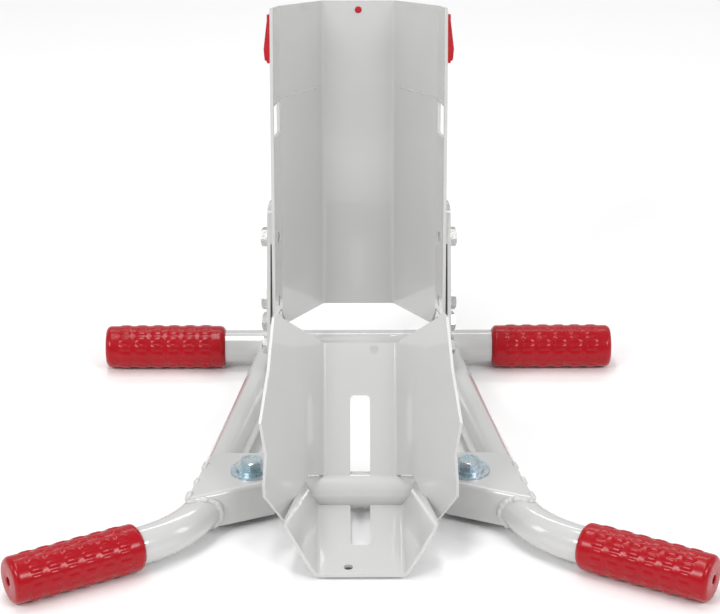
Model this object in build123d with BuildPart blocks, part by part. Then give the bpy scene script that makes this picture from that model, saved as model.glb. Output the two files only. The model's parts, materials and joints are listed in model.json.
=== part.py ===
# Front-wheel paddock stand (wheel chock): a tube frame on four rubber grips, a V-shaped upright that
# takes the front of the wheel, and a cradle that tips about a cross axle when the wheel rolls in.
# Millimetres, +Z up, +X to the right, the wheel rolls in along +Y.  Origin: centre of the footprint.
import os
from math import cos, radians, sin, tan

from build123d import *

os.makedirs("parts", exist_ok=True)

# Frame
tube_r = 16.85  # 33.7 mm pipe
tube_wall = 2.6
grip_r = 22
grip_length = 122
grip_end = 4  # rubber past the end of the tube
grip_hole_r = 4
axis_z = grip_r
rear_y = 206.2  # axis of the rear cross tube
rear_half = 258
side_x = 82  # where a side tube leaves the cross tube
splay = 10  # side tubes, degrees from straight ahead
toe = 61.3  # front grips, degrees from straight ahead
front_grip_x = 248.4
front_grip_y = rear_y - 429
bend_r = 105

# Cradle pivot
pivot_y = rear_y - 300
pivot_z = 22
axle_r = 8
bush_bore_r = 8.05
bush_r = 11
bush_flange_r = 15
bush_flange_t = 3
bush_length = 22
pivot_tube_half = 74
cheek_x = 78  # inner face of each pivot bracket
cheek_t = 5
cheek_half = 15
clip_t = 1.5

# Gussets
sheet = 3
gusset_top = axis_z + tube_r + sheet
gusset_drop = 34
gusset_front_y = pivot_y - 20
gusset_rear_y = pivot_y + 34
bolt_x = 99
bolt_r = 6
bolt_hole_r = 6.5

# Upright
web_half = 35.5
web_y = rear_y + 8
web_z = 67
lean = 8
top_lean = 14
flange_angle = 62  # from the web
flange_dx = 40
lip_length = 34
channel_length = 226
top_length = 84
fold_r = 5
bracket_t = 5
side_bolt_r = 5

# Cradle plates
upper_half = 33
upper_tilt = 60  # from the floor
upper_flange_angle = 58
lower_half = 38
lower_tilt = 5  # falls towards the entry
lower_flange_angle = 60
lower_length = 107
slot_width = 18
cradle_fold_r = 4


def finish(part, name):
    """Label a finished piece and write it to its own STEP file."""
    part.label = name
    export_step(part, f"parts/{name}.step")


def in_side_view(degrees):
    """Unit vector in the YZ plane, measured from +Y towards +Z."""
    return Vector(0, cos(radians(degrees)), sin(radians(degrees)))


def folded_strip(plane, front, thickness, length, radius):
    """A sheet strip of constant folded section, extruded along the plane's normal."""
    with BuildPart() as strip:
        with BuildSketch(plane):
            with BuildLine():
                fold = FilletPolyline(*front, radius=radius)
                offset(fold, amount=thickness, side=Side.LEFT)
            make_face()
        extrude(amount=length)
    return strip.part


def hex_prism(plane, across_flats, height):
    """Hexagon standing on a plane, its arrises chamfered like a bolt head."""
    with BuildPart() as head:
        with BuildSketch(plane):
            RegularPolygon(across_flats / 2, 6, major_radius=False)
        extrude(amount=height)
        with BuildSketch(plane):
            Circle(across_flats / 2 * 1.13)
        extrude(amount=height, taper=4, mode=Mode.INTERSECT)
    return head.part


# ---- Tubes ------------------------------------------------------------------------------------
with BuildPart() as rear_cross_tube:
    with BuildSketch(Plane((-rear_half + grip_end, rear_y, axis_z), z_dir=(1, 0, 0))):
        Circle(tube_r)
        Circle(tube_r - tube_wall, mode=Mode.SUBTRACT)
    extrude(amount=2 * (rear_half - grip_end))
finish(rear_cross_tube.part, "rear_cross_tube")

run_dir = Vector(sin(radians(splay)), -cos(radians(splay)), 0)
toe_dir = Vector(sin(radians(toe)), -cos(radians(toe)), 0)
side_start = Vector(side_x, rear_y, axis_z)
grip_centre = Vector(front_grip_x, front_grip_y, axis_z)
# the corner where the straight run and the line of the front grip would meet
gap = grip_centre - side_start
corner_run = (gap.X * toe_dir.Y - gap.Y * toe_dir.X) / (run_dir.X * toe_dir.Y - run_dir.Y * toe_dir.X)
side_corner = side_start + run_dir * corner_run
front_end = grip_centre + toe_dir * (grip_length / 2 - grip_end)

with BuildPart() as right_side_tube:
    with BuildLine():
        FilletPolyline(side_start, side_corner, front_end, radius=bend_r)
    with BuildSketch(Plane(side_start, z_dir=run_dir)):
        Circle(tube_r)
        Circle(tube_r - tube_wall, mode=Mode.SUBTRACT)
    sweep()
    with BuildSketch(Plane((0, rear_y, axis_z), z_dir=(1, 0, 0))):
        Circle(tube_r)
    extrude(amount=2 * side_x, mode=Mode.SUBTRACT)
right_tube = right_side_tube.part.solids().sort_by(SortBy.VOLUME)[-1]
right_tube_body = Part(right_tube.wrapped)
finish(right_tube_body, "right_side_tube")
finish(mirror(right_tube_body, about=Plane.YZ), "left_side_tube")

# ---- Grips ------------------------------------------------------------------------------------


def grip(inner_end, outward):
    """Closed-end rubber sleeve: rounded ends, a small vent hole in the end face."""
    with BuildPart() as sleeve:
        with BuildSketch(Plane(inner_end, z_dir=outward)):
            Circle(grip_r)
        extrude(amount=grip_length)
        fillet(sleeve.edges().filter_by(GeomType.CIRCLE), 4)
        with BuildSketch(Plane(inner_end, z_dir=outward)):
            Circle(tube_r)
        extrude(amount=grip_length - grip_end, mode=Mode.SUBTRACT)
        with BuildSketch(Plane(inner_end, z_dir=outward)):
            Circle(grip_hole_r)
        extrude(amount=grip_length, mode=Mode.SUBTRACT)
    return sleeve.part


for side, name in ((1, "right"), (-1, "left")):
    rear_inner = Vector(side * (rear_half - grip_length), rear_y, axis_z)
    finish(grip(rear_inner, Vector(side, 0, 0)), f"rear_{name}_grip")
    outward = Vector(side * toe_dir.X, toe_dir.Y, 0)
    front_inner = Vector(side * front_grip_x, front_grip_y, axis_z) - outward * (grip_length / 2)
    finish(grip(front_inner, outward), f"front_{name}_grip")

# ---- Gussets: folded channels from the side tubes to the pivot --------------------------------
gusset_out_x = 137
gusset_corner_r = 14
gusset_front_out = (155, gusset_front_y - 33.4)
with BuildPart() as right_gusset:
    with BuildSketch(Plane.XY.offset(gusset_top - gusset_drop)):
        with BuildLine():
            Polyline(
                (cheek_x, gusset_front_y),
                gusset_front_out,
                (gusset_out_x, gusset_rear_y),
                (cheek_x, gusset_rear_y),
                close=True,
            )
        make_face()
    extrude(amount=gusset_drop)
    upright_edges = right_gusset.edges().filter_by(Axis.Z)
    fillet(upright_edges.sort_by_distance((gusset_out_x, gusset_rear_y, 0))[0], gusset_corner_r)
    fillet(
        right_gusset.faces()
        .sort_by(Axis.Z)[-1]
        .edges()
        .filter_by(GeomType.LINE)
        .sort_by(Axis.Y)[0],
        4,
    )
    with BuildSketch(Plane.XY.offset(gusset_top - gusset_drop)):
        with BuildLine():
            Polyline(
                (cheek_x - 1, gusset_front_y + sheet + 0.3),
                (gusset_front_out[0] + 20, gusset_front_out[1] + sheet - 8),
                (gusset_front_out[0] + 20, gusset_rear_y - sheet),
                (cheek_x - 1, gusset_rear_y - sheet),
                close=True,
            )
        make_face()
    extrude(amount=gusset_drop - sheet, mode=Mode.SUBTRACT)
    with BuildLine():
        FilletPolyline(side_start, side_corner, front_end, radius=bend_r)
    with BuildSketch(Plane(side_start, z_dir=run_dir)):
        Circle(tube_r)
    sweep(mode=Mode.SUBTRACT)
    with Locations((bolt_x, pivot_y, gusset_top)):
        Hole(bolt_hole_r, depth=2 * sheet)
right_gusset_body = Part(right_gusset.part.solids().sort_by(SortBy.VOLUME)[-1].wrapped)
finish(right_gusset_body, "right_gusset")
finish(mirror(right_gusset_body, about=Plane.YZ), "left_gusset")

# ---- Pivot brackets, axle and bushes ----------------------------------------------------------
ledge_z = gusset_top - sheet
ledge_end_x = 116
with BuildPart() as right_pivot_bracket:
    with BuildSketch(Plane.XZ.offset(-pivot_y - cheek_half)):
        with BuildLine():
            Polyline(
                (cheek_x, axis_z - 16),
                (cheek_x, ledge_z),
                (ledge_end_x, ledge_z),
                (ledge_end_x, ledge_z - cheek_t),
                (cheek_x + cheek_t, ledge_z - cheek_t),
                (cheek_x + cheek_t, axis_z - 16),
                close=True,
            )
        make_face()
    extrude(amount=2 * cheek_half)
    bend = right_pivot_bracket.edges().filter_by(Axis.Y)
    fillet(bend.sort_by_distance((cheek_x, pivot_y, ledge_z))[0], 6)
    fillet(bend.sort_by_distance((cheek_x + cheek_t, pivot_y, ledge_z - cheek_t))[0], 1.5)
    with BuildSketch(Plane((cheek_x - 1, pivot_y, pivot_z), z_dir=(1, 0, 0))):
        Circle(axle_r + 0.05)
    extrude(amount=cheek_t + 2, mode=Mode.SUBTRACT)
    with Locations((bolt_x, pivot_y, ledge_z)):
        Hole(bolt_hole_r, depth=2 * cheek_t)
finish(right_pivot_bracket.part, "right_pivot_bracket")
finish(mirror(right_pivot_bracket.part, about=Plane.YZ), "left_pivot_bracket")

axle_half = cheek_x + cheek_t + clip_t + 2.5
groove_x = cheek_x + cheek_t + 0.1
with BuildPart() as pivot_axle:
    with BuildSketch(Plane((-axle_half, pivot_y, pivot_z), z_dir=(1, 0, 0))):
        Circle(axle_r)
    extrude(amount=2 * axle_half)
    chamfer(pivot_axle.edges().filter_by(GeomType.CIRCLE), 0.8)
    for groove in (groove_x, -groove_x - clip_t):
        with BuildSketch(Plane((groove, pivot_y, pivot_z), z_dir=(1, 0, 0))):
            Circle(axle_r + 1)
            Circle(axle_r - 1, mode=Mode.SUBTRACT)
        extrude(amount=clip_t, mode=Mode.SUBTRACT)
finish(pivot_axle.part, "pivot_axle")

with BuildPart() as axle_clips:
    for groove in (groove_x, -groove_x - clip_t):
        with BuildSketch(Plane((groove + 0.1, pivot_y, pivot_z), x_dir=(0, 1, 0), z_dir=(1, 0, 0))):
            Circle(axle_r + 3)
            Circle(axle_r - 1, mode=Mode.SUBTRACT)
            with Locations((0, -axle_r)):
                Rectangle(axle_r, 2 * axle_r, mode=Mode.SUBTRACT)
        extrude(amount=clip_t - 0.2)
finish(axle_clips.part, "axle_clips")

for side, name in ((1, "right"), (-1, "left")):
    with BuildPart() as bush:
        with BuildSketch(Plane((side * pivot_tube_half, pivot_y, pivot_z), z_dir=(side, 0, 0))):
            Circle(bush_flange_r)
        extrude(amount=bush_flange_t)
        with BuildSketch(Plane((side * pivot_tube_half, pivot_y, pivot_z), z_dir=(-side, 0, 0))):
            Circle(bush_r)
        extrude(amount=bush_length)
        with BuildSketch(Plane((0, pivot_y, pivot_z), z_dir=(side, 0, 0))):
            Circle(bush_bore_r)
        extrude(amount=2 * pivot_tube_half, mode=Mode.SUBTRACT)
    finish(bush.part, f"{name}_pivot_bush")

with BuildPart() as cradle_pivot_tube:
    with BuildSketch(Plane((-pivot_tube_half, pivot_y, pivot_z), z_dir=(1, 0, 0))):
        Circle(tube_r)
        Circle(bush_r, mode=Mode.SUBTRACT)
    extrude(amount=2 * pivot_tube_half)
finish(cradle_pivot_tube.part, "cradle_pivot_tube")

# ---- Gusset fasteners: one vertical M12 bolt each side ----------------------------------------
plate_washer_t = 2
washer_t = 2.5
gusset_nut_t = 10
thread_past_nut = 2
thread_short = 0.6  # the side bolts end just inside the lips
with BuildPart() as gusset_plate_washers:
    for side in (1, -1):
        with BuildSketch(Plane((side * bolt_x, pivot_y, gusset_top))):
            Circle(19)
            Circle(bolt_hole_r, mode=Mode.SUBTRACT)
        extrude(amount=plate_washer_t)
finish(gusset_plate_washers.part, "gusset_plate_washers")

with BuildPart() as gusset_washers:
    for side in (1, -1):
        with BuildSketch(Plane((side * bolt_x, pivot_y, gusset_top + plate_washer_t))):
            Circle(14)
            Circle(bolt_hole_r, mode=Mode.SUBTRACT)
        extrude(amount=washer_t)
finish(gusset_washers.part, "gusset_washers")

head_z = gusset_top + plate_washer_t + washer_t
nut_z = ledge_z - cheek_t
bolt_end_z = nut_z - gusset_nut_t - thread_past_nut
with BuildPart() as gusset_bolts:
    for side in (1, -1):
        add(hex_prism(Plane((side * bolt_x, pivot_y, head_z)), 18, 7.5))
        with BuildSketch(Plane((side * bolt_x, pivot_y, bolt_end_z))):
            Circle(bolt_r)
        extrude(amount=head_z + 2 - bolt_end_z)
finish(gusset_bolts.part, "gusset_bolts")

with BuildPart() as gusset_nuts:
    for side in (1, -1):
        add(hex_prism(Plane((side * bolt_x, pivot_y, nut_z), z_dir=(0, 0, -1)), 18, gusset_nut_t))
        with BuildSketch(Plane((side * bolt_x, pivot_y, nut_z - gusset_nut_t))):
            Circle(bolt_r)
        extrude(amount=gusset_nut_t, mode=Mode.SUBTRACT)
finish(gusset_nuts.part, "gusset_nuts")

# ---- Upright: a V channel with lips parallel to the side tubes --------------------------------
depth = flange_dx * tan(radians(flange_angle))
lip_dx = lip_length * sin(radians(splay))
lip_dy = lip_length * cos(radians(splay))
knee_x = web_half + flange_dx
edge_x = knee_x + lip_dx
channel_front = [
    (-edge_x, -depth - lip_dy),
    (-knee_x, -depth),
    (-web_half, 0),
    (web_half, 0),
    (knee_x, -depth),
    (edge_x, -depth - lip_dy),
]
up = in_side_view(90 - lean)
front = in_side_view(180 - lean)
foot = Vector(0, web_y, web_z)
top_up = in_side_view(90 - top_lean)
top_front = in_side_view(180 - top_lean)
channel_plane = Plane(foot, x_dir=(1, 0, 0), z_dir=up)
kink = foot + up * channel_length
mitre_plane = Plane(kink, z_dir=in_side_view(90 - (lean + top_lean) / 2))
mitre_spare = 30  # each folded strip runs on past the mitre before it is cut


def lip_plane(side):
    """On a lip's outer face: x forward along the lip from the knee, y up the channel, z outward."""
    along = Vector(side * sin(radians(splay)), 0, 0) + front * cos(radians(splay))
    outward = Vector(side, 0, 0) - along * (side * along.X)
    outward = outward.normalized()
    start = foot + Vector(side * knee_x, 0, 0) + front * depth + outward * sheet
    plane = Plane(start, x_dir=along, z_dir=outward)
    return plane, plane.y_dir.dot(up)


press_nut_r = 7
lip_foot = 18.5  # lips stop short of the frame lugs
foot_cut = ((-9, -1), (3, lip_foot), (60, lip_foot), (60, -40), (-9, -40))
lip_bolts = ((15, 30), (15, 94.5))  # forward along the lip, up from the foot
lug_bolts = ((13, -17), (13, 7.5))
window_size = (27, 31)
window_z = 212
with BuildPart() as upright_channel:
    add(folded_strip(channel_plane, channel_front, sheet, channel_length + mitre_spare, fold_r))
    split(bisect_by=mitre_plane, keep=Keep.BOTTOM)
    for side in (1, -1):
        plane, sense = lip_plane(side)
        with BuildSketch(plane.offset(-sheet)):
            with BuildLine():
                Polyline(*[(x, sense * z) for x, z in foot_cut], close=True)
            make_face()
        extrude(amount=20, both=True, mode=Mode.SUBTRACT)
        with BuildSketch(plane):
            with Locations((17.5, sense * window_z)):
                RectangleRounded(*window_size, 1.5)
            with Locations(*[(x, sense * z) for x, z in lip_bolts]):
                Circle(press_nut_r)
        extrude(amount=-2 * sheet, mode=Mode.SUBTRACT)
finish(upright_channel.part, "upright_channel")

peg_centre = kink + top_up * (top_length - 9)
peg_r = 3.3
with BuildPart() as upright_top:
    strip_start = Plane(kink - top_up * mitre_spare, x_dir=(1, 0, 0), z_dir=top_up)
    add(folded_strip(strip_start, channel_front, sheet, top_length + mitre_spare, fold_r))
    split(bisect_by=mitre_plane, keep=Keep.TOP)
    with BuildSketch(Plane(peg_centre, x_dir=(1, 0, 0), z_dir=top_front)):
        Circle(peg_r + 0.2)
    extrude(amount=20, both=True, mode=Mode.SUBTRACT)
finish(upright_top.part, "upright_top")

# Moulded red guard: it lines the back of the upright's top and thickens over the lips
guard_back = sheet + 0.2  # from the channel's front face to the guard, with a hairline gap
guard_t = 2.5
guard_low = top_length - 52
guard_high = top_length - 6
wedge_length = lip_length * 0.9
with BuildPart() as top_guard:
    with BuildSketch(Plane(kink + top_up * guard_low, x_dir=(1, 0, 0), z_dir=top_up)):
        with BuildLine():
            fold = FilletPolyline(*channel_front, radius=fold_r)
            offset(fold, amount=guard_back + guard_t, side=Side.LEFT)
        make_face()
        with BuildLine():
            fold = FilletPolyline(*channel_front, radius=fold_r)
            offset(fold, amount=guard_back, side=Side.LEFT)
        make_face(mode=Mode.SUBTRACT)
    extrude(amount=guard_high - guard_low)
    for side in (1, -1):
        along = Vector(side * sin(radians(splay)), 0, 0) + top_front * cos(radians(splay))
        outward = (Vector(side, 0, 0) - along * (side * along.X)).normalized()
        tip = kink + Vector(side * edge_x, 0, 0) + top_front * (depth + lip_dy)
        base = tip + outward * (guard_back + 0.5) - along * wedge_length
        wedge = Plane(base, x_dir=outward, z_dir=along)
        sense = wedge.y_dir.dot(top_up)
        with BuildSketch(wedge):
            with BuildLine():
                Polyline(
                    (0, sense * guard_low),
                    (4.5, sense * (guard_low + 3)),
                    (5.5, sense * (guard_low + 13)),
                    (1.5, sense * guard_high),
                    (0, sense * guard_high),
                    close=True,
                )
            make_face()
        extrude(amount=wedge_length - 1)
    with BuildSketch(Plane(peg_centre - top_front * (guard_back + 1), x_dir=(1, 0, 0), z_dir=top_front)):
        Circle(peg_r)
    extrude(amount=guard_back + 2)
    peg_end = top_guard.faces().sort_by_distance(peg_centre + top_front * 5)[0]
    fillet(peg_end.edges(), 0.8)
finish(top_guard.part, "top_guard")

# ---- Side brackets: bolted to the upright's lips above and to welded frame lugs below ----------
side_washer_t = 2
side_head_t = 6.4
bracket_outline = ((-12, -34), (-4, 131), (30, 131), (38, 18), (38, -34))
lug_outline = ((-2, -52), (-2, 8), (6, 17.5), (34, 17.5), (34, -52))
# along its front edge the bracket is eased away from the lip
ease_depth = 1.6
ease_outline = ((22, 12), (22, 80), (28, 92), (50, 92), (50, 12))
side_bolts = lip_bolts + lug_bolts
head_turns = (0, 24, 5, 14)  # degrees each head is turned from point-up

for side, name in ((1, "right"), (-1, "left")):
    plane, sense = lip_plane(side)
    with BuildPart() as bracket:
        with BuildSketch(plane):
            with BuildLine():
                Polyline(*[(x, sense * z) for x, z in bracket_outline], close=True)
            make_face()
            fillet(vertices(), 12)
            with Locations(*[(x, sense * z) for x, z in side_bolts]):
                Circle(side_bolt_r + 0.5, mode=Mode.SUBTRACT)
        extrude(amount=bracket_t)
        with BuildSketch(plane):
            with BuildLine():
                Polyline(*[(x, sense * z) for x, z in ease_outline], close=True)
            make_face()
        extrude(amount=ease_depth, mode=Mode.SUBTRACT)
    finish(bracket.part, f"{name}_side_bracket")

    with BuildPart() as lug:
        with BuildSketch(plane):
            with BuildLine():
                Polyline(*[(x, sense * z) for x, z in lug_outline], close=True)
            make_face()
            with Locations(*[(x, sense * z) for x, z in lug_bolts]):
                Circle(press_nut_r, mode=Mode.SUBTRACT)
        extrude(amount=-sheet)
        tube_line = Vector(side * run_dir.X, run_dir.Y, 0)
        with BuildSketch(Plane((side * side_x, rear_y, axis_z), z_dir=tube_line)):
            Circle(tube_r)
        extrude(amount=200, mode=Mode.SUBTRACT)
    lug_body = Part(lug.part.solids().sort_by(Axis.Z)[-1].wrapped)
    finish(lug_body, f"{name}_frame_lug")

with BuildPart() as press_nuts:
    for side in (1, -1):
        plane, sense = lip_plane(side)
        with BuildSketch(plane):
            with Locations(*[(x, sense * z) for x, z in side_bolts]):
                Circle(press_nut_r)
                Circle(side_bolt_r, mode=Mode.SUBTRACT)
        extrude(amount=-sheet)
finish(press_nuts.part, "press_nuts")

with BuildPart() as bracket_washers:
    for side in (1, -1):
        plane, sense = lip_plane(side)
        with BuildSketch(plane.offset(bracket_t)):
            with Locations(*[(x, sense * z) for x, z in side_bolts]):
                Circle(10.5)
                Circle(side_bolt_r + 0.5, mode=Mode.SUBTRACT)
        extrude(amount=side_washer_t)
finish(bracket_washers.part, "bracket_washers")

with BuildPart() as bracket_bolts:
    for side in (1, -1):
        plane, sense = lip_plane(side)
        for (x, z), turn in zip(side_bolts, head_turns):
            seat = plane.from_local_coords(Vector(x, sense * z, bracket_t + side_washer_t))
            point_up = plane.y_dir.rotate(Axis((0, 0, 0), plane.z_dir), turn)
            add(hex_prism(Plane(seat, x_dir=point_up, z_dir=plane.z_dir), 17, side_head_t))
            with BuildSketch(Plane(seat, z_dir=-plane.z_dir)):
                Circle(side_bolt_r)
            extrude(amount=side_washer_t + bracket_t + sheet - thread_short)
finish(bracket_bolts.part, "bracket_bolts")


# ---- Cradle: two folded plates welded to the pivot tube ----------------------------------------
def web_plane(root, along_deg):
    """On a plate's web: x to the right, y along the plate."""
    return Plane(root, x_dir=(1, 0, 0), z_dir=Vector(1, 0, 0).cross(in_side_view(along_deg)))


def box_outline(x0, y0, x1, y1):
    """The corners of a rectangle, in order."""
    return ((x0, y0), (x1, y0), (x1, y1), (x0, y1))


def folded_plate(root, along_deg, half, angle, flange, web_cuts, length, radius):
    """A V plate: a flat web between two flanges whose outline is (slant, along), plus web cut-outs."""
    along = in_side_view(along_deg)
    facing = in_side_view(along_deg + 90) if along_deg < 90 else in_side_view(along_deg - 90)
    reach = max(s for s, v in flange) + 20
    low = min(v for s, v in flange) - 5
    rise = reach * sin(radians(angle))
    run = reach * cos(radians(angle))
    far = length + 19
    section = Plane(root + along * low, x_dir=(1, 0, 0), z_dir=along)
    sense = section.y_dir.dot(facing)
    profile = [(-half - run, sense * rise), (-half, 0), (half, 0), (half + run, sense * rise)]
    if sense > 0:
        profile.reverse()
    with BuildPart() as plate:
        add(folded_strip(section, profile, sheet, length - low + 10, radius))
        for side in (1, -1):
            slant = Vector(side * cos(radians(angle)), 0, 0) + facing * sin(radians(angle))
            out = Plane(root + Vector(side * half, 0, 0), x_dir=slant, z_dir=slant.cross(along))
            with BuildSketch(out):
                with BuildLine():
                    Polyline(*box_outline(0, low - 9, reach + 9, far), close=True)
                make_face()
                with BuildLine():
                    Polyline(*flange, close=True)
                make_face(mode=Mode.SUBTRACT)
            extrude(amount=2.5 * sheet, both=True, mode=Mode.SUBTRACT)
        with BuildSketch(web_plane(root, along_deg)):
            for cut in web_cuts:
                with BuildLine():
                    Polyline(*cut, close=True)
                make_face()
        extrude(amount=2.5 * sheet, both=True, mode=Mode.SUBTRACT)
    return plate.part


upper_root = Vector(0, pivot_y, pivot_z) + in_side_view(100) * (tube_r - 0.2)
lower_root = Vector(0, pivot_y, pivot_z) + in_side_view(205) * (tube_r - 0.2)
upper_web_top = 121
ear_top = 143
upper_flange = (
    (0, 0),
    (26, 0),
    (34, -8),
    (60, -44),
    (95, -20),
    (96, -10),
    (93, 16),
    (102, 44),
    (89, 92),
    (81, ear_top - 4),
    (75, ear_top),
    (68, ear_top - 4),
    (0, upper_web_top),
)
fold_allowance = 3
upper_cut_half = upper_half + fold_allowance
lower_cut_half = lower_half + fold_allowance
upper_cuts = (
    box_outline(-upper_cut_half, upper_web_top, upper_cut_half, ear_top + 30),
    box_outline(-upper_cut_half, -90, upper_cut_half, -1),
)
upper_slot_top = 73
lower_flange = (
    (0, -4),
    (22.5, -13),
    (53, 88),
    (54, 96),
    (46, 100),
    (12, lower_length),
    (0, lower_length),
)
lower_cuts = (
    box_outline(-lower_cut_half, lower_length, lower_cut_half, lower_length + 40),
    box_outline(-lower_cut_half, -90, lower_cut_half, -4),
)
lower_slot_end = 63
hole_r = 4

with BuildPart() as cradle_lower_plate:
    add(
        folded_plate(
            lower_root,
            180 + lower_tilt,
            lower_half,
            lower_flange_angle,
            lower_flange,
            lower_cuts,
            lower_length,
            cradle_fold_r,
        )
    )
    with BuildSketch(Plane((-100, pivot_y, pivot_z), z_dir=(1, 0, 0))):
        Circle(tube_r)
    extrude(amount=200, mode=Mode.SUBTRACT)
    with BuildSketch(web_plane(lower_root, 180 + lower_tilt)):
        with Locations((0, (lower_slot_end - 20) / 2)):
            RectangleRounded(slot_width, lower_slot_end + 20, 4)
        with Locations((-11, 96)):
            Circle(hole_r)
    extrude(amount=2.5 * sheet, both=True, mode=Mode.SUBTRACT)
finish(cradle_lower_plate.part, "cradle_lower_plate")

with BuildPart() as cradle_upper_plate:
    add(
        folded_plate(
            upper_root,
            upper_tilt,
            upper_half,
            upper_flange_angle,
            upper_flange,
            upper_cuts,
            ear_top,
            cradle_fold_r,
        )
    )
    with BuildSketch(Plane((-100, pivot_y, pivot_z), z_dir=(1, 0, 0))):
        Circle(tube_r)
    extrude(amount=200, mode=Mode.SUBTRACT)
    with BuildSketch(web_plane(upper_root, upper_tilt)):
        with Locations((0, (upper_slot_top - 20) / 2)):
            RectangleRounded(slot_width, upper_slot_top + 20, 4)
        with Locations((13, 115)):
            Circle(hole_r)
    extrude(amount=2.5 * sheet, both=True, mode=Mode.SUBTRACT)
    add(cradle_lower_plate.part, mode=Mode.SUBTRACT)
finish(cradle_upper_plate.part, "cradle_upper_plate")
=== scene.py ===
import json
from math import cos, pi, radians, sin, sqrt, tan

import bmesh
import bpy
from mathutils import Matrix, Vector, noise
from mathutils.bvhtree import BVHTree


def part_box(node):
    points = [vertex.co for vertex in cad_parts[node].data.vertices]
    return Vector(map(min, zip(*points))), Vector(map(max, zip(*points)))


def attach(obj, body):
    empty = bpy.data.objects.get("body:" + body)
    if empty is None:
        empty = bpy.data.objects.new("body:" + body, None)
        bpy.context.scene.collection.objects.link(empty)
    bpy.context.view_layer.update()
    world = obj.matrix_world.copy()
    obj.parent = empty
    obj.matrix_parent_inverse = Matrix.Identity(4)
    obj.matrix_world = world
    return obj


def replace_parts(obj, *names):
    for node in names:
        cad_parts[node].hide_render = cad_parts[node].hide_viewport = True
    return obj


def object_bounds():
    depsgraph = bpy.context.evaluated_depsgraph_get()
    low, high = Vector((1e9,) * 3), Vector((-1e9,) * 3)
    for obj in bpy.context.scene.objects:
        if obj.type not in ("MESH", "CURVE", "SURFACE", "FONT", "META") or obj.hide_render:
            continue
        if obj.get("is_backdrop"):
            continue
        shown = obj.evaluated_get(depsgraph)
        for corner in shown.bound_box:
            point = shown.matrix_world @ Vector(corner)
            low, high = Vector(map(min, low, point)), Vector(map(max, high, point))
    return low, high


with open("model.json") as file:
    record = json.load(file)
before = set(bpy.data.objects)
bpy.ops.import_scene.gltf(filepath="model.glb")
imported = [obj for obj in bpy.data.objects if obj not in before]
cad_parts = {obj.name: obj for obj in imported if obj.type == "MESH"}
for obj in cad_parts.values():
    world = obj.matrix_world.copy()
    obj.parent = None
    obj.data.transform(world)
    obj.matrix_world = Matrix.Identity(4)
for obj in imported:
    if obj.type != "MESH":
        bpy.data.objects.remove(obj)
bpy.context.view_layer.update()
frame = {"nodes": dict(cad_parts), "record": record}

MM = 0.001

# ---- Driving sizes, from the frame -------------------------------------------------------------
rear_low, rear_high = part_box("rear_cross_tube")
REAR_AXIS = (rear_low + rear_high) / 2
TUBE_R = (rear_high.z - rear_low.z) / 2
grip_low, grip_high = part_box("rear_right_grip")
GRIP_LENGTH = grip_high.x - grip_low.x
GRIP_R = (grip_high.z - grip_low.z) / 2
gusset_low, gusset_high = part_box("right_gusset")
pivot_low, pivot_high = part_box("cradle_pivot_tube")
PIVOT = (pivot_low + pivot_high) / 2
SPLAY = radians(10)
TOE = radians(61.3)
LEAN = radians(8)
TOP_LEAN = radians(14)


def side_name(side):
    return "right" if side > 0 else "left"


# ---- Mesh helpers ------------------------------------------------------------------------------
def mesh_object(name, vertices, faces, smooth=True):
    mesh = bpy.data.meshes.new(name)
    mesh.from_pydata([tuple(v) for v in vertices], [], faces)
    mesh.update()
    shell = bmesh.new()
    shell.from_mesh(mesh)
    bmesh.ops.recalc_face_normals(shell, faces=shell.faces)
    shell.to_mesh(mesh)
    shell.free()
    for face in mesh.polygons:
        face.use_smooth = smooth
    piece = bpy.data.objects.new(name, mesh)
    bpy.context.scene.collection.objects.link(piece)
    return piece


def rings_to_mesh(rings, close_start=True, close_end=True):
    """Vertices and faces of a skin over rings that all have the same number of points."""
    count = len(rings[0])
    vertices = [point for ring in rings for point in ring]
    faces = []
    for r in range(len(rings) - 1):
        for k in range(count):
            a = r * count + k
            b = r * count + (k + 1) % count
            faces.append((a, b, b + count, a + count))
    if close_start:
        faces.append(tuple(reversed(range(count))))
    if close_end:
        last = (len(rings) - 1) * count
        faces.append(tuple(range(last, last + count)))
    return vertices, faces


def basis(origin, axis, upright):
    """A matrix whose z is axis and whose x is as near upright as it can be."""
    z = axis.normalized()
    x = (upright - z * upright.dot(z)).normalized()
    y = z.cross(x)
    turn = Matrix((x, y, z)).transposed().to_4x4()
    return Matrix.Translation(origin) @ turn


def auto_smooth(piece, limit_deg=35):
    for face in piece.data.polygons:
        face.use_smooth = True
    piece.data.set_sharp_from_angle(angle=radians(limit_deg))


def round_edges(piece, width, segments=3, limit_deg=32):
    """Rounds the cut edges of a plate or tube end; flat faces stay flat."""
    merge = piece.modifiers.new("flat faces", "DECIMATE")
    merge.decimate_type = "DISSOLVE"
    merge.angle_limit = radians(0.4)
    bevel = piece.modifiers.new("round edges", "BEVEL")
    bevel.width = width
    bevel.segments = segments
    bevel.limit_method = "ANGLE"
    bevel.angle_limit = radians(limit_deg)
    bevel.use_clamp_overlap = True
    bevel.harden_normals = True
    bevel.miter_outer = "MITER_ARC"


# ---- Materials ---------------------------------------------------------------------------------
def new_material(name):
    """A node material with a Principled shader, and a helper that adds nodes."""
    material = bpy.data.materials.new(name)
    material.use_nodes = True
    tree = material.node_tree
    shader = tree.nodes["Principled BSDF"]
    place = tree.nodes.new("ShaderNodeTexCoord")
    return material, tree, shader, place.outputs["Object"]


def noise_field(tree, place, scale, detail=2.0, roughness=0.5):
    field = tree.nodes.new("ShaderNodeTexNoise")
    field.inputs["Scale"].default_value = scale
    field.inputs["Detail"].default_value = detail
    field.inputs["Roughness"].default_value = roughness
    tree.links.new(place, field.inputs["Vector"])
    return field.outputs["Fac"]


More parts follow.
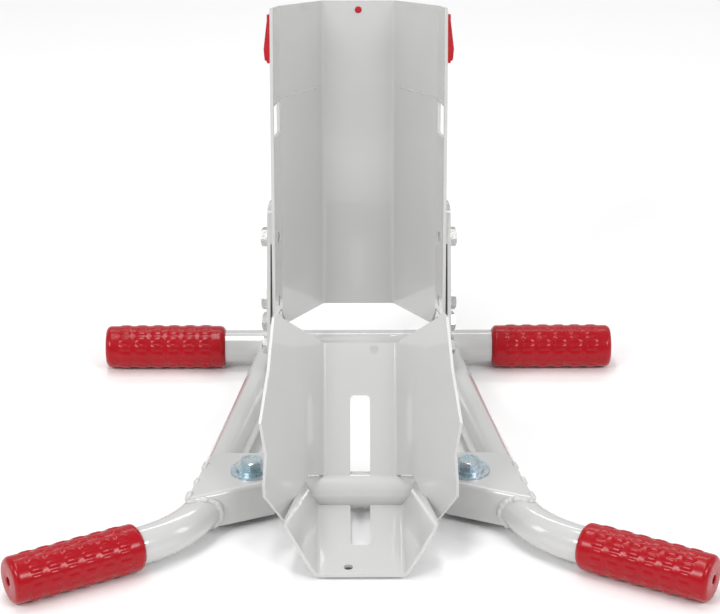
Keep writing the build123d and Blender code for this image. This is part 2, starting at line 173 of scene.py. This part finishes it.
def remap(tree, value, low, high, to_low, to_high):
    node = tree.nodes.new("ShaderNodeMapRange")
    node.inputs["From Min"].default_value = low
    node.inputs["From Max"].default_value = high
    node.inputs["To Min"].default_value = to_low
    node.inputs["To Max"].default_value = to_high
    tree.links.new(value, node.inputs["Value"])
    return node.outputs["Result"]


def blend_colours(tree, factor, first, second):
    node = tree.nodes.new("ShaderNodeMix")
    node.data_type = "RGBA"
    sockets = [s for s in node.inputs if s.type == "RGBA"]
    for socket, colour in zip(sockets, (first, second)):
        if isinstance(colour, tuple):
            socket.default_value = (*colour, 1)
        else:
            tree.links.new(colour, socket)
    tree.links.new(factor, node.inputs["Factor"])
    return next(s for s in node.outputs if s.type == "RGBA")


def ramp(tree, value, stops):
    node = tree.nodes.new("ShaderNodeValToRGB")
    node.color_ramp.elements[0].position = stops[0][0]
    node.color_ramp.elements[0].color = (*stops[0][1], 1)
    node.color_ramp.elements[1].position = stops[-1][0]
    node.color_ramp.elements[1].color = (*stops[-1][1], 1)
    for position, colour in stops[1:-1]:
        node.color_ramp.elements.new(position).color = (*colour, 1)
    tree.links.new(value, node.inputs["Fac"])
    return node.outputs["Color"]


def bump(tree, height, distance, strength=1.0, under=None):
    node = tree.nodes.new("ShaderNodeBump")
    node.inputs["Strength"].default_value = strength
    node.inputs["Distance"].default_value = distance
    tree.links.new(height, node.inputs["Height"])
    if under is not None:
        tree.links.new(under, node.inputs["Normal"])
    return node.outputs["Normal"]


def powder_coat():
    """Glossy pale grey-white coat: faint orange peel, slow shade drift and a few dust specks."""
    material, tree, shader, place = new_material("powder_coat")
    drift = noise_field(tree, place, 9, detail=3)
    base = blend_colours(tree, drift, (0.54, 0.54, 0.534), (0.56, 0.56, 0.556))
    specks = remap(tree, noise_field(tree, place, 700, detail=1), 0.76, 0.8, 0, 0.5)
    tree.links.new(blend_colours(tree, specks, base, (0.5, 0.49, 0.46)), shader.inputs["Base Color"])
    gloss = noise_field(tree, place, 16, detail=2)
    tree.links.new(remap(tree, gloss, 0.2, 0.8, 0.15, 0.2), shader.inputs["Roughness"])
    shader.inputs["Specular IOR Level"].default_value = 0.5
    shader.inputs["Coat Weight"].default_value = 0.8
    shader.inputs["Coat Roughness"].default_value = 0.03
    sag = bump(tree, noise_field(tree, place, 60, detail=1), 0.00006, 0.3)
    peel = bump(tree, noise_field(tree, place, 620, detail=1), 0.00002, 0.4, sag)
    tree.links.new(peel, shader.inputs["Normal"])
    return material


def red_rubber():
    """Glossy dipped rubber with a fine uneven skin and slightly scuffed patches."""
    material, tree, shader, place = new_material("red_rubber")
    drift = noise_field(tree, place, 22, detail=4)
    base = blend_colours(tree, drift, (0.33, 0.001, 0.006), (0.385, 0.002, 0.009))
    fine = noise_field(tree, place, 900, detail=2)
    tree.links.new(
        blend_colours(tree, remap(tree, fine, 0.6, 0.8, 0, 0.25), base, (0.5, 0.02, 0.03)),
        shader.inputs["Base Color"],
    )
    gloss = noise_field(tree, place, 75, detail=3)
    tree.links.new(remap(tree, gloss, 0.3, 0.7, 0.2, 0.28), shader.inputs["Roughness"])
    shader.inputs["Specular IOR Level"].default_value = 0.25
    shader.inputs["Coat Weight"].default_value = 0.1
    shader.inputs["Coat Roughness"].default_value = 0.12
    soft = bump(tree, noise_field(tree, place, 260, detail=2), 0.00015, 0.4)
    tree.links.new(bump(tree, fine, 0.00004, 0.5, soft), shader.inputs["Normal"])
    return material


def red_plastic():
    """Moulded plastic with a fine spark-eroded grain."""
    material, tree, shader, place = new_material("red_plastic")
    drift = noise_field(tree, place, 30, detail=3)
    base = blend_colours(tree, drift, (0.4, 0.006, 0.012), (0.45, 0.009, 0.015))
    tree.links.new(base, shader.inputs["Base Color"])
    gloss = noise_field(tree, place, 60, detail=2)
    tree.links.new(remap(tree, gloss, 0.3, 0.7, 0.2, 0.3), shader.inputs["Roughness"])
    grain = noise_field(tree, place, 1500, detail=2)
    tree.links.new(bump(tree, grain, 0.00003, 0.6), shader.inputs["Normal"])
    return material


def zinc(name, dark, light, tints, tint_amount):
    """Plated steel: cloudy tone, faint passivation colours and fine drawn scratches."""
    material, tree, shader, place = new_material(name)
    cloud = noise_field(tree, place, 160, detail=4, roughness=0.6)
    base = blend_colours(tree, cloud, dark, light)
    film = ramp(tree, noise_field(tree, place, 70, detail=2), tints)
    amount = remap(tree, noise_field(tree, place, 120, detail=2), 0.42, 0.65, 0, tint_amount)
    tree.links.new(blend_colours(tree, amount, base, film), shader.inputs["Base Color"])
    shader.inputs["Metallic"].default_value = 1.0
    streak = noise_field(tree, place, 900, detail=3)
    tree.links.new(remap(tree, streak, 0.3, 0.7, 0.22, 0.4), shader.inputs["Roughness"])
    tree.links.new(bump(tree, streak, 0.00003, 0.5), shader.inputs["Normal"])
    return material


def nylon():
    """Oil-filled nylon of the pivot bushes, charcoal grey with a waxy mottle."""
    material, tree, shader, place = new_material("nylon")
    mottle = noise_field(tree, place, 350, detail=3)
    tree.links.new(
        blend_colours(tree, mottle, (0.03, 0.031, 0.034), (0.05, 0.05, 0.054)),
        shader.inputs["Base Color"],
    )
    tree.links.new(remap(tree, mottle, 0.3, 0.7, 0.4, 0.55), shader.inputs["Roughness"])
    tree.links.new(bump(tree, mottle, 0.00003, 0.4), shader.inputs["Normal"])
    return material


GREY_TINTS = ((0.3, (0.62, 0.68, 0.66)), (0.5, (0.72, 0.72, 0.62)), (0.7, (0.6, 0.68, 0.74)))
BLUE_TINTS = (
    (0.3, (0.5, 0.68, 0.76)),
    (0.45, (0.8, 0.74, 0.82)),
    (0.58, (0.84, 0.82, 0.68)),
    (0.72, (0.52, 0.74, 0.78)),
)
MATERIALS = {
    "powder_coat": powder_coat(),
    "red_rubber": red_rubber(),
    "red_plastic": red_plastic(),
    "zinc": zinc("zinc", (0.46, 0.48, 0.47), (0.66, 0.68, 0.66), GREY_TINTS, 0.4),
    "blue_zinc": zinc("blue_zinc", (0.34, 0.45, 0.5), (0.62, 0.74, 0.79), BLUE_TINTS, 0.5),
    "nylon": nylon(),
}


def finish_piece(piece, slot, body):
    piece.data.materials.clear()
    piece.data.materials.append(MATERIALS[slot])
    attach(piece, body)
    return piece


# ---- CAD nodes that stay: their finish and rounded edges ---------------------------------------
EDGE_ROUNDING = {  # metres; pieces not named keep their turned or moulded edges
    "left_gusset": 0.9 * MM,
    "right_gusset": 0.9 * MM,
    "left_side_bracket": 0.9 * MM,
    "right_side_bracket": 0.9 * MM,
    "left_frame_lug": 0.7 * MM,
    "right_frame_lug": 0.7 * MM,
    "left_pivot_bracket": 0.7 * MM,
    "right_pivot_bracket": 0.7 * MM,
    "upright_channel": 0.9 * MM,
    "upright_top": 0.9 * MM,
    "cradle_upper_plate": 1.0 * MM,
    "cradle_lower_plate": 1.0 * MM,
    "top_guard": 0.6 * MM,
    "gusset_plate_washers": 0.4 * MM,
    "gusset_washers": 0.4 * MM,
    "bracket_washers": 0.35 * MM,
}
SLOT_OF = {part["node"]: part["material_slot"] for part in frame["record"]["subparts"]}
for node, cad_piece in frame["nodes"].items():
    cad_material = MATERIALS[SLOT_OF[node]]
    for slot in cad_piece.material_slots:
        slot.material = cad_material
    if not cad_piece.material_slots:
        cad_piece.data.materials.append(cad_material)
    if node in EDGE_ROUNDING:
        round_edges(cad_piece, EDGE_ROUNDING[node])


# ---- Grips: rounded rubber sleeves with rows of raised pads -----------------------------------
PAD_HEIGHT = 0.85 * MM
PAD_PITCH = 16.3 * MM
PAD_COLUMNS = 6
PAD_ROWS = 16
PAD_HALF_LENGTH = 6.2 * MM
PAD_HALF_WIDTH = 3.9 * MM
GRIP_HOLE_R = 4 * MM
GRIP_ROUND = 5.5 * MM


def pad(along, angle):
    """How far the rubber stands proud at a distance from the outer end and an angle round it."""
    column = round((along - GRIP_LENGTH / 2) / PAD_PITCH - 0.5) + 0.5
    if abs(column) > PAD_COLUMNS / 2:
        return 0
    off_x = (along - GRIP_LENGTH / 2 - column * PAD_PITCH) / PAD_HALF_LENGTH
    step = 2 * pi / PAD_ROWS
    off_angle = (angle + step / 2) % step - step / 2
    off_y = off_angle * GRIP_R / PAD_HALF_WIDTH
    return PAD_HEIGHT * max(0, 1 - off_x**4 - off_y**4) ** 1.6


def grip_profile():
    """(distance from the outer end, radius) from inside the end hole, over the skin, to the tube."""
    skin = GRIP_R - PAD_HEIGHT
    points = [(3.9 * MM, GRIP_HOLE_R), (0.7 * MM, GRIP_HOLE_R), (0.2 * MM, GRIP_HOLE_R + 0.2 * MM)]
    points += [(0.0, GRIP_HOLE_R + 0.7 * MM), (0.0, (GRIP_HOLE_R + skin - GRIP_ROUND) / 2)]
    for k in range(9):
        turn = k / 8 * pi / 2
        points.append((GRIP_ROUND * (1 - cos(turn)), skin - GRIP_ROUND + GRIP_ROUND * sin(turn)))
    steps = 112
    far = GRIP_LENGTH - GRIP_ROUND
    points += [(GRIP_ROUND + (far - GRIP_ROUND) * k / steps, skin) for k in range(1, steps)]
    for k in range(9):
        turn = k / 8 * pi / 2
        points.append((far + GRIP_ROUND * sin(turn), skin - GRIP_ROUND + GRIP_ROUND * cos(turn)))
    points += [(GRIP_LENGTH, TUBE_R + 0.5 * MM), (GRIP_LENGTH - 0.5 * MM, TUBE_R + 0.05 * MM)]
    return points


def make_grip(name, outer_end, outward):
    around = 128
    place = basis(outer_end, -outward, Vector((0, 0, 1)))
    rings = []
    for along, radius in grip_profile():
        on_skin = GRIP_ROUND < along < GRIP_LENGTH - GRIP_ROUND and radius > TUBE_R + MM
        ring = []
        for k in range(around):
            angle = 2 * pi * k / around
            r = radius + (pad(along, angle) if on_skin else 0)
            ring.append(place @ Vector((r * cos(angle), r * sin(angle), along)))
        rings.append(ring)
    vertices, faces = rings_to_mesh(rings, close_start=True, close_end=False)
    piece = mesh_object(name, vertices, faces)
    auto_smooth(piece, 50)
    return piece


for side in (1, -1):
    which = side_name(side)
    rear_end = Vector((side * grip_high.x, REAR_AXIS.y, REAR_AXIS.z))
    rear_grip = make_grip(f"rear_{which}_grip_sleeve", rear_end, Vector((side, 0, 0)))
    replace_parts(finish_piece(rear_grip, "red_rubber", "stand"), f"rear_{which}_grip")
    front_low, front_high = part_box(f"front_{which}_grip")
    toe_out = Vector((side * sin(TOE), -cos(TOE), 0))
    front_end = (front_low + front_high) / 2 + toe_out * GRIP_LENGTH / 2
    front_grip = make_grip(f"front_{which}_grip_sleeve", front_end, toe_out)
    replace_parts(finish_piece(front_grip, "red_rubber", "stand"), f"front_{which}_grip")


# ---- Fasteners ---------------------------------------------------------------------------------
def islands(node):
    """The separate solids of a CAD node, each as a list of its vertices."""
    shell = bmesh.new()
    shell.from_mesh(frame["nodes"][node].data)
    bmesh.ops.remove_doubles(shell, verts=shell.verts, dist=1e-6)
    left = set(shell.verts)
    groups = []
    while left:
        stack = [left.pop()]
        group = []
        while stack:
            vertex = stack.pop()
            group.append(vertex.co.copy())
            for edge in vertex.link_edges:
                other = edge.other_vert(vertex)
                if other in left:
                    left.remove(other)
                    stack.append(other)
        groups.append(group)
    shell.free()
    return groups


def hex_radius(angle, across_flats):
    sector = pi / 3
    return across_flats / 2 / cos((angle + sector / 2) % sector - sector / 2)


def hex_body(across_flats, height, bore_r=0.0, both_ends=False, dish=0.0):
    """Rings of a hexagon standing on z=0 with turned chamfers, solid or bored."""
    around = 96
    angles = [2 * pi * k / around for k in range(around)]
    flat_r = across_flats / 2
    corner = 1.1547 * flat_r
    drop = tan(radians(30))
    start_r = flat_r * 0.95

    def ring(radius_of, z_of):
        return [Vector((radius_of(a) * cos(a), radius_of(a) * sin(a), z_of(a))) for a in angles]

    def top_z(radius):
        return height - max(0, radius - start_r) * drop

    def low_z(radius):
        return max(0, radius - start_r) * drop if both_ends else 0

    def edge(a):
        return min(hex_radius(a, across_flats), corner)

    rings = []
    if bore_r:
        rings.append(ring(lambda a: bore_r, lambda a: 0.5 * MM))
        rings.append(ring(lambda a: bore_r + 0.5 * MM, lambda a: 0))
    else:
        rings.append(ring(lambda a: 0.01 * MM, lambda a: 0))
    rings.append(ring(lambda a: start_r, lambda a: 0))
    rings.append(ring(edge, lambda a: low_z(edge(a))))
    rings.append(ring(edge, lambda a: top_z(edge(a))))
    rings.append(ring(lambda a: start_r, lambda a: height))
    if bore_r:
        rings.append(ring(lambda a: bore_r + 0.5 * MM, lambda a: height))
        rings.append(ring(lambda a: bore_r, lambda a: height - 0.5 * MM))
        rings.append(rings[0])
    else:
        rings.append(ring(lambda a: start_r * 0.72, lambda a: height))
        rings.append(ring(lambda a: start_r * 0.68, lambda a: height - dish))
        rings.append(ring(lambda a: 0.01 * MM, lambda a: height - dish))
    return rings


def threaded_shank(radius, low, high, pitch, thread_low, thread_high):
    """Rings of a shank along z, with a rolled thread between two heights and a chamfered low end."""
    around = 48
    depth = 0.54 * pitch
    rings = []
    steps = int((high - low) / (pitch / 6))
    for i in range(steps + 1):
        z = low + (high - low) * i / steps
        ring = []
        for k in range(around):
            angle = 2 * pi * k / around
            r = radius
            if thread_low <= z <= thread_high:
                phase = (z / pitch - angle / (2 * pi)) % 1
                r -= depth * abs(2 * phase - 1)
            r = min(r, radius - 0.9 * MM + (z - low))
            ring.append(Vector((r * cos(angle), r * sin(angle), z)))
        rings.append(ring)
    return rings


def join_rings(name, sets):
    """One mesh object from several (matrix, rings, closed) skins."""
    vertices, faces = [], []
    for place, rings, closed in sets:
        some_vertices, some_faces = rings_to_mesh(rings, closed, closed)
        shift = len(vertices)
        vertices += [place @ v for v in some_vertices]
        faces += [tuple(i + shift for i in face) for face in some_faces]
    piece = mesh_object(name, vertices, faces)
    shell = bmesh.new()
    shell.from_mesh(piece.data)
    bmesh.ops.remove_doubles(shell, verts=shell.verts, dist=1e-6)
    shell.to_mesh(piece.data)
    shell.free()
    auto_smooth(piece, 28)
    return piece


def centre_of(points):
    low = Vector(min(p[i] for p in points) for i in range(3))
    high = Vector(max(p[i] for p in points) for i in range(3))
    return (low + high) / 2


# Side bolts: M10 hex heads outside the brackets
channel_front = Vector((0, -cos(LEAN), sin(LEAN)))
channel_up = Vector((0, sin(LEAN), cos(LEAN)))
HEAD_TURNS = (0, 24, 5, 14)  # degrees, from the top bolt down


def lip_out(side):
    """Outward normal of a lip, of the bracket and of its bolts."""
    return (Vector((side * cos(SPLAY), 0, 0)) - channel_front * sin(SPLAY)).normalized()


WASHER_HALF = 1 * MM
SIDE_HEAD_FLATS = 17 * MM
SIDE_HEAD_HEIGHT = 6.4 * MM
SIDE_BOLT_REACH = 9.4 * MM  # below the head, to the inside of the lip
side_bolts = []
for side in (1, -1):
    washers = [centre_of(g) for g in islands("bracket_washers") if centre_of(g).x * side > 0]
    order = sorted(washers, key=lambda p: -p.dot(channel_up))
    for centre, turn in zip(order, HEAD_TURNS):
        seat = centre + lip_out(side) * WASHER_HALF
        place = basis(seat, lip_out(side), channel_up) @ Matrix.Rotation(radians(turn), 4, "Z")
        side_bolts.append((place, hex_body(SIDE_HEAD_FLATS, SIDE_HEAD_HEIGHT, dish=0.25 * MM), True))
        low = -SIDE_BOLT_REACH
        shank = threaded_shank(5 * MM, low, 0.5 * MM, 1.5 * MM, low, -2.5 * MM)
        side_bolts.append((place, shank, True))
piece = join_rings("bracket_bolt_set", side_bolts)
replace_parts(finish_piece(piece, "zinc", "stand"), "bracket_bolts")

# Gusset bolts: M12, head on top, nut and thread underneath
GUSSET_HEAD_FLATS = 18 * MM
head_seat_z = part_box("gusset_washers")[1].z
nut_low, nut_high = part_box("gusset_nuts")
bolt_low, bolt_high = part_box("gusset_bolts")
gusset_bolts, gusset_nuts = [], []
for side in (1, -1):
    x = side * (nut_high.x - GUSSET_HEAD_FLATS / 2 / cos(radians(30)))
    seat = Vector((x, PIVOT.y, head_seat_z))
    place = basis(seat, Vector((0, 0, 1)), Vector((1, side * 0.08, 0)))
    head = hex_body(GUSSET_HEAD_FLATS, bolt_high.z - head_seat_z, dish=0.3 * MM)
    gusset_bolts.append((place, head, True))
    low = bolt_low.z - head_seat_z
    shank = threaded_shank(6 * MM, low, 0.5 * MM, 1.75 * MM, low, low + 18 * MM)
    gusset_bolts.append((place, shank, True))
    place = basis(Vector((x, PIVOT.y, nut_low.z)), Vector((0, 0, 1)), Vector((1, 0.2, 0)))
    nut = hex_body(GUSSET_HEAD_FLATS, nut_high.z - nut_low.z, bore_r=6 * MM, both_ends=True)
    gusset_nuts.append((place, nut, False))
piece = join_rings("gusset_bolt_set", gusset_bolts)
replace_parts(finish_piece(piece, "blue_zinc", "stand"), "gusset_bolts")
piece = join_rings("gusset_nut_set", gusset_nuts)
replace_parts(finish_piece(piece, "blue_zinc", "stand"), "gusset_nuts")


# ---- Weld beads --------------------------------------------------------------------------------
surfaces = {}


def nearest(node, point):
    """The nearest point on a CAD node's surface, at rest."""
    if node not in surfaces:
        data = frame["nodes"][node].data
        corners = [v.co.copy() for v in data.vertices]
        surfaces[node] = BVHTree.FromPolygons(corners, [tuple(p.vertices) for p in data.polygons])
    return surfaces[node].find_nearest(point)[0]


def along_path(points, spacing):
    """Points at even steps along a polyline."""
    lengths = [(b - a).length for a, b in zip(points, points[1:])]
    total = sum(lengths)
    count = max(2, int(total / spacing))
    result = []
    for i in range(count + 1):
        left = total * i / count
        k = 0
        while k < len(lengths) - 1 and left > lengths[k]:
            left -= lengths[k]
            k += 1
        result.append(points[k].lerp(points[k + 1], min(1, left / max(lengths[k], 1e-9))))
    return result


SETTLE_STEPS = 4  # averaging the two nearest points this often brings a guess into the corner
WELD_STEP = 0.5 * MM
WELD_SIDES = 12
LUMPS_PER_METRE = 220


def weld(name, nodes, guesses, radius, body, ripple=2.4 * MM, lumps=0.12):
    """A bead with the ripples of a hand-run weld, settled into the corner between two nodes
    or, with no nodes, left on its path."""
    seats = along_path(guesses, WELD_STEP)
    for _ in range(SETTLE_STEPS if nodes else 0):
        seats = [(nearest(nodes[0], p) + nearest(nodes[1], p)) / 2 for p in seats]
    for _ in range(3):
        seats = [
            seats[i] if i in (0, len(seats) - 1) else (seats[i - 1] + seats[i] * 2 + seats[i + 1]) / 4
            for i in range(len(seats))
        ]
    rings = []
    run = 0.0
    for i, seat in enumerate(seats):
        if i:
            run += (seat - seats[i - 1]).length
        ahead = (seats[min(i + 1, len(seats) - 1)] - seats[max(i - 1, 0)]).normalized()
        side_way = ahead.orthogonal().normalized() if i == 0 else last_side
        side_way = (side_way - ahead * side_way.dot(ahead)).normalized()
        last_side = side_way
        other_way = ahead.cross(side_way)
        wave = 1 + 0.11 * abs(sin(pi * run / ripple)) + lumps * noise.noise(seat * LUMPS_PER_METRE)
        ends = min(i, len(seats) - 1 - i) * WELD_STEP / (radius * 1.2)
        wave *= sqrt(max(0.02, 1 - max(0, 1 - ends) ** 2))
        ring = []
        for k in range(WELD_SIDES):
            angle = 2 * pi * k / WELD_SIDES
            out = side_way * cos(angle) + other_way * sin(angle)
            ring.append(seat + out * radius * wave)
        rings.append(ring)
    vertices, faces = rings_to_mesh(rings)
    piece = mesh_object(name, vertices, faces)
    return finish_piece(piece, "powder_coat", body)


run_dir = {side: Vector((side * sin(SPLAY), -cos(SPLAY), 0)) for side in (1, -1)}
SIDE_X = 82 * MM  # where a side tube's line meets the cross tube's
FRONT_AXIS_INSET = 10 * MM  # the side tube's axis, inboard of a gusset's outer front corner
GUSSET_FRONT_SLOPE = 0.434  # forward per outward step along a gusset's front wall
GUSSET_REAR_X = 139 * MM  # outer edge of a gusset's top, a corner radius ahead of its rear edge
for side in (1, -1):
    which = side_name(side)
    tube = f"{which}_side_tube"
    gusset = f"{which}_gusset"
    start = Vector((side * SIDE_X, REAR_AXIS.y, REAR_AXIS.z))
    across = Vector((0, 0, 1)).cross(run_dir[side])

    # side tube to cross tube, round the front of the joint
    ring = []
    for k in range(41):
        angle = 2 * pi * k / 40
        rim = Vector((0, 0, 1)) * TUBE_R * cos(angle) + across * TUBE_R * sin(angle)
        back = sqrt(max(0, TUBE_R**2 - rim.z**2))
        ring.append(start + rim - run_dir[side] * ((back + rim.y) / run_dir[side].y))
    weld(f"{which}_rear_joint_weld", (tube, "rear_cross_tube"), ring, 2.0 * MM, "stand")

    # three short beads where the gusset's top lies on the side tube
    outer_rear = Vector((side * GUSSET_REAR_X, gusset_high.y - 12 * MM, gusset_high.z - 1.8 * MM))
    outer_front = Vector((side * gusset_high.x, gusset_low.y, gusset_high.z - 1.8 * MM))
    for n, (low, high) in enumerate(((0.06, 0.24), (0.45, 0.62), (0.8, 0.98))):
        run = [outer_rear.lerp(outer_front, low), outer_rear.lerp(outer_front, high)]
        weld(f"{which}_gusset_top_weld_{n + 1}", None, run, 2.8 * MM, "stand", lumps=0.4)
    inward = Vector((-side, GUSSET_FRONT_SLOPE, 0)) * 20 * MM
    run = [outer_front + Vector((0, 0, -1.5 * MM)), outer_front + inward + Vector((0, 0, -3 * MM))]
    weld(f"{which}_gusset_corner_weld", None, run, 3.0 * MM, "stand", lumps=0.4)

    # the gusset's front wall to the side tube
    guesses = []
    for k in range(9):
        z = gusset_low.z + MM + (gusset_high.z - gusset_low.z - 6 * MM) * k / 8
        reach = sqrt(TUBE_R**2 - (z - REAR_AXIS.z) ** 2)
        x = gusset_high.x - FRONT_AXIS_INSET - reach
        y = gusset_low.y + (gusset_high.x - x) * GUSSET_FRONT_SLOPE - 2 * MM
        guesses.append(Vector((side * x, y, z)))
    weld(f"{which}_gusset_wall_weld", (tube, gusset), guesses, 3.1 * MM, "stand", lumps=0.4)

    # the frame lug's foot to the side tube, inside and outside
    lug = f"{which}_frame_lug"
    lug_low, lug_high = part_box(lug)
    for n, shift in ((1, 2.2), (2, -5.0)):
        off = lip_out(side) * shift * MM
        rear_foot = Vector((side * 84 * MM, lug_high.y - 3 * MM, REAR_AXIS.z + TUBE_R)) + off
        front_foot = Vector((side * 90 * MM, lug_low.y + 5 * MM, REAR_AXIS.z + TUBE_R)) + off
        weld(f"{which}_lug_weld_{n}", (tube, lug), [rear_foot, front_foot], 1.8 * MM, "stand")

# cradle plates to the pivot tube: beads each side of the slots
for name, plate, angle_deg in (
    ("cradle_rear_weld", "cradle_upper_plate", 76),
    ("cradle_under_weld", "cradle_lower_plate", 228),
):
    corner = Vector((0, cos(radians(angle_deg)), sin(radians(angle_deg)))) * (TUBE_R + 0.5 * MM)
    for side in (1, -1):
        guesses = [PIVOT + corner + Vector((side * x * MM, 0, 0)) for x in (11, 30)]
        weld(f"{name}_{side_name(side)}", ("cradle_pivot_tube", plate), guesses, 1.7 * MM, "cradle")

# the mitred seam where the upright's top kinks: thin beads in front, one wide bead behind
CHANNEL_LENGTH = 226 * MM
WEB_FOOT = Vector((0, REAR_AXIS.y + 8 * MM, 67 * MM))
WEB_HALF = 35.5 * MM
KNEE = Vector((75.5 * MM, 40 * MM * tan(radians(62)), 0))  # across, and forward of the web
LIP = 34 * MM
SHEET = 3 * MM
kink = WEB_FOOT + channel_up * CHANNEL_LENGTH
mitre_rise = tan((TOP_LEAN - LEAN) / 2)


def on_mitre(across, forward):
    return kink + Vector((across, 0, 0)) + channel_front * forward + channel_up * mitre_rise * forward


seam_nodes = ("upright_channel", "upright_top")
for side in (1, -1):
    which = side_name(side)
    web_end = on_mitre(side * (WEB_HALF + 2 * MM), 3 * MM)
    knee = on_mitre(side * KNEE.x, KNEE.y)
    lip_end = on_mitre(side * (KNEE.x + LIP * sin(SPLAY)), KNEE.y + LIP * cos(SPLAY) - 2 * MM)
    weld(f"{which}_seam_weld", seam_nodes, [web_end, knee, lip_end], 0.5 * MM, "stand")
    for n, (low, high) in enumerate(((0.12, 0.2), (0.3, 0.46), (0.62, 0.7))):
        lump = [web_end.lerp(knee, low), web_end.lerp(knee, high)]
        weld(f"{which}_seam_lump_{n + 1}", seam_nodes, lump, 1.0 * MM, "stand", lumps=0.5)
back = -SHEET
rear_path = [on_mitre(-WEB_HALF, back), on_mitre(WEB_HALF, back)]
weld("rear_seam_weld", seam_nodes, rear_path, 1.6 * MM, "stand")

# ---- Floor, lights, camera ---------------------------------------------------------------------
FLOOR_HALF = 14.0
floor = mesh_object(
    "floor",
    [(x * FLOOR_HALF, y * FLOOR_HALF, 0) for x, y in ((-1, -1), (1, -1), (1, 1), (-1, 1))],
    [(0, 1, 2, 3)],
    smooth=False,
)
floor_material, floor_tree, floor_shader, floor_place = new_material("studio_floor")
floor_tone = noise_field(floor_tree, floor_place, 1.5)
floor_tree.links.new(
    blend_colours(floor_tree, floor_tone, (0.95, 0.95, 0.95), (0.965, 0.965, 0.965)),
    floor_shader.inputs["Base Color"],
)
floor_shader.inputs["Roughness"].default_value = 0.6
floor_shader.inputs["Specular IOR Level"].default_value = 0.25
floor.data.materials.append(floor_material)
floor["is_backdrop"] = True


def softbox(name, position, target, width, height, radiance):
    """A rectangular area light of that radiance, facing a point."""
    data = bpy.data.lights.new(name, "AREA")
    data.shape = "RECTANGLE"
    data.size = width
    data.size_y = height
    data.energy = radiance * pi * width * height
    lamp = bpy.data.objects.new(name, data)
    bpy.context.scene.collection.objects.link(lamp)
    lamp.location = position
    lamp.rotation_mode = "QUATERNION"
    lamp.rotation_quaternion = (Vector(target) - Vector(position)).to_track_quat("-Z", "Y")
    return lamp


CENTRE = (0, 0, 0.12)
softbox("overhead", (-0.3, 0.0, 2.7), CENTRE, 1.7, 0.3, 11)
softbox("front_high_left", (-1.7, -2.1, 2.1), CENTRE, 1.0, 0.8, 15)
softbox("front_high_right", (1.7, -2.1, 2.1), CENTRE, 1.0, 0.8, 14)
softbox("side_left", (-2.6, -0.4, 1.3), CENTRE, 0.5, 1.2, 4)
softbox("side_right", (2.6, -0.4, 1.3), CENTRE, 0.5, 1.2, 3.5)
softbox("back_strip", (0.3, 1.9, 2.6), CENTRE, 2.4, 0.3, 6)

# a pale room: bright overhead and behind, dimmer towards the front wall
world = bpy.data.worlds.new("studio")
bpy.context.scene.world = world
world.use_nodes = True
sky = world.node_tree
background = sky.nodes["Background"]
direction = sky.nodes.new("ShaderNodeTexCoord").outputs["Generated"]
split = sky.nodes.new("ShaderNodeSeparateXYZ")
sky.links.new(direction, split.inputs["Vector"])
height = remap(sky, split.outputs["Z"], -0.1, 0.9, 0.0, 1.0)
upper = ramp(sky, height, ((0.0, (0.6, 0.6, 0.6)), (0.35, (0.35, 0.35, 0.35)), (1.0, (0.5, 0.5, 0.5))))
behind = remap(sky, split.outputs["Y"], -0.2, 0.8, 0.0, 1.0)
sky.links.new(blend_colours(sky, behind, upper, (0.64, 0.64, 0.64)), background.inputs["Color"])
background.inputs["Strength"].default_value = 1.0

CAMERA_BACK = 2.234  # from the rear tube's axis
CAMERA_HEIGHT = 1.108
CAMERA_PITCH = radians(25)
CAMERA_YAW = radians(0.3)
FOCAL_PIXELS = 2420
PICTURE_WIDTH, PICTURE_HEIGHT = 720, 614
CENTRE_LINE_X, CENTRE_LINE_Y = 358.5, 307
camera_data = bpy.data.cameras.new("camera")
camera_data.sensor_width = 36
camera_data.lens = FOCAL_PIXELS * camera_data.sensor_width / PICTURE_WIDTH
camera_data.shift_x = (PICTURE_WIDTH / 2 - CENTRE_LINE_X) / PICTURE_WIDTH
camera_data.shift_y = (CENTRE_LINE_Y - PICTURE_HEIGHT / 2) / PICTURE_WIDTH
camera = bpy.data.objects.new("camera", camera_data)
bpy.context.scene.collection.objects.link(camera)
heading = Vector((sin(CAMERA_YAW), cos(CAMERA_YAW), 0))
camera.location = Vector((0, REAR_AXIS.y, CAMERA_HEIGHT)) - heading * CAMERA_BACK
look = heading * cos(CAMERA_PITCH) - Vector((0, 0, sin(CAMERA_PITCH)))
camera.rotation_mode = "QUATERNION"
camera.rotation_quaternion = look.to_track_quat("-Z", "Y")
bpy.context.scene.camera = camera
bpy.context.scene.view_settings.view_transform = "Standard"

# ---- Bounds of everything shown, floor left out -----------------------------------------------
low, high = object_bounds()
